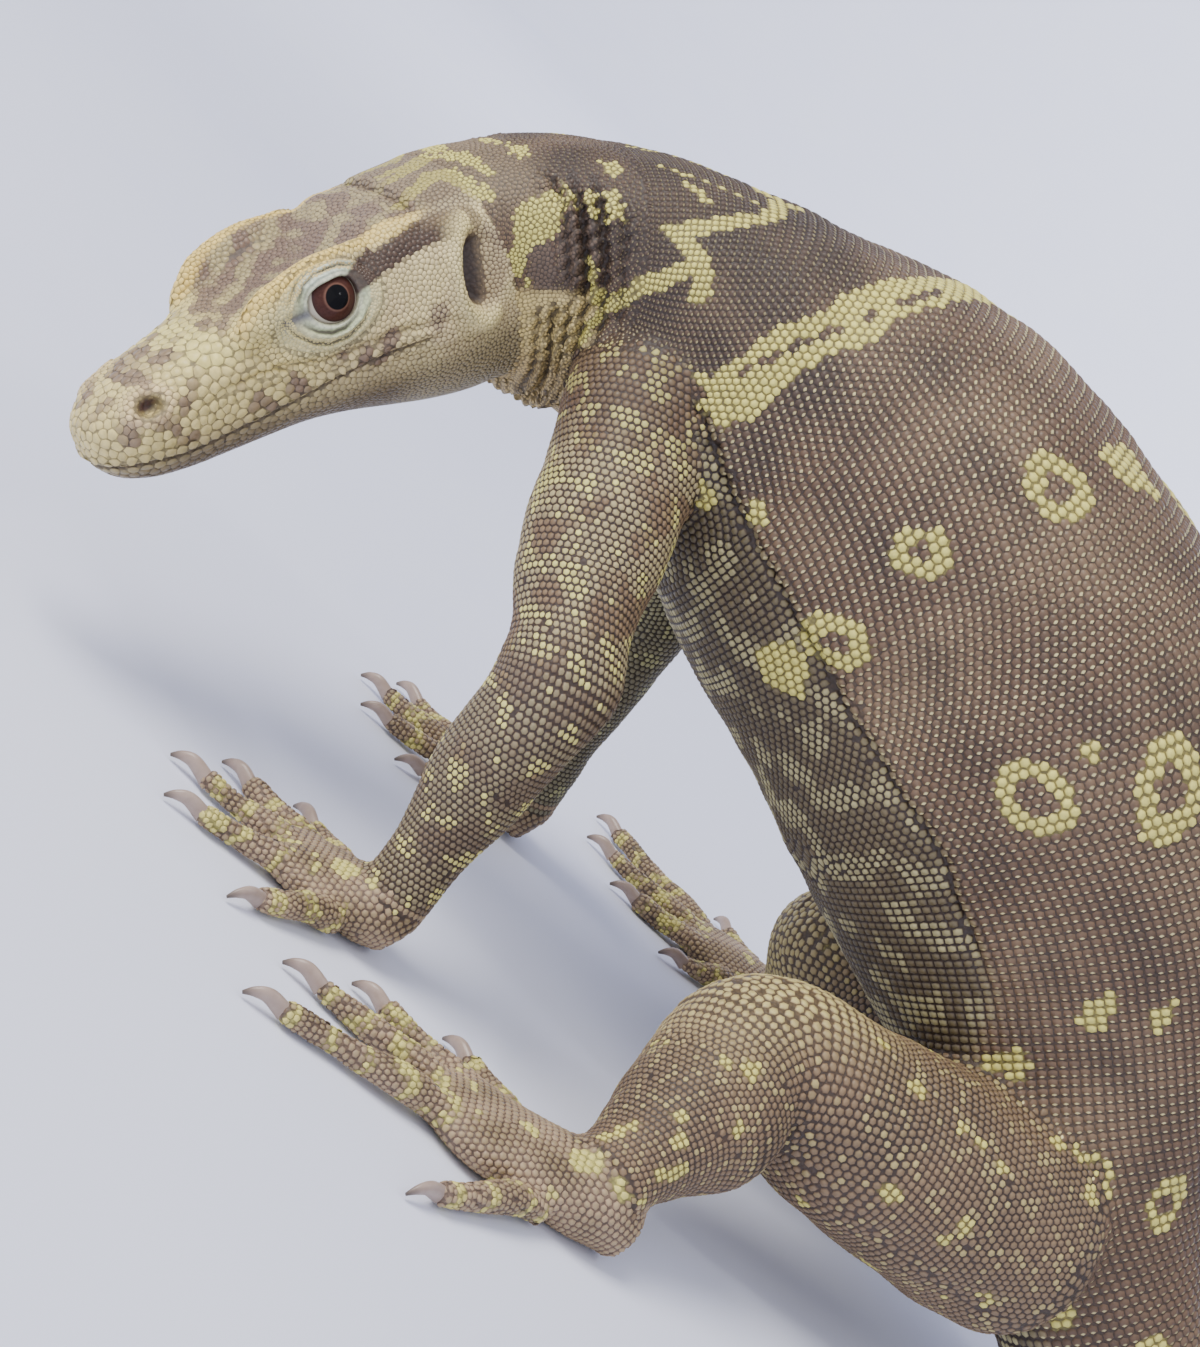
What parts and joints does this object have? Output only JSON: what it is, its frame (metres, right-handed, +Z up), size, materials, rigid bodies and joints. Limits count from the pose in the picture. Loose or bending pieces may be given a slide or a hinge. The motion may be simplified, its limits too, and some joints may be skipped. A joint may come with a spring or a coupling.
{
  "type": "water monitor lizard",
  "caption": "Life-size water monitor lizard standing on its feet, neck arched and head turned down to its left, long tail laid on the floor behind.",
  "frame": {"origin": "middle of the animal's box at floor level", "axes": "the animal faces -X with its own left side towards -Y, and +Z is up from the floor it stands on"},
  "size_m": [0.6996, 0.2236, 0.1376],
  "materials": {
    "scaly_skin": "satin scales",
    "head_skin": "satin scales",
    "toe_skin": "satin scales",
    "eye": "wet gloss",
    "claw": "smooth horn"
  },
  "bodies": {
    "root": {"head": "head_skin", "lower_jaw": "head_skin", "eye_left": "eye", "eye_right": "eye", "neck": "scaly_skin", "chest": "scaly_skin", "belly": "scaly_skin", "pelvis": "scaly_skin", "tail_1": "scaly_skin", "tail_2": "scaly_skin", "tail_3": "scaly_skin", "tail_4": "scaly_skin", "tail_5": "scaly_skin", "upper_arm_left": "scaly_skin", "forearm_left": "scaly_skin", "hand_left": "toe_skin", "finger_claw_left_1": "claw", "finger_claw_left_2": "claw", "finger_claw_left_3": "claw", "finger_claw_left_4": "claw", "finger_claw_left_5": "claw", "upper_arm_right": "scaly_skin", "forearm_right": "scaly_skin", "hand_right": "toe_skin", "finger_claw_right_1": "claw", "finger_claw_right_2": "claw", "finger_claw_right_3": "claw", "finger_claw_right_4": "claw", "finger_claw_right_5": "claw", "thigh_left": "scaly_skin", "shank_left": "scaly_skin", "foot_left": "toe_skin", "toe_claw_left_1": "claw", "toe_claw_left_2": "claw", "toe_claw_left_3": "claw", "toe_claw_left_4": "claw", "toe_claw_left_5": "claw", "thigh_right": "scaly_skin", "shank_right": "scaly_skin", "foot_right": "toe_skin", "toe_claw_right_1": "claw", "toe_claw_right_2": "claw", "toe_claw_right_3": "claw", "toe_claw_right_4": "claw", "toe_claw_right_5": "claw"}
  },
  "joints": []
}
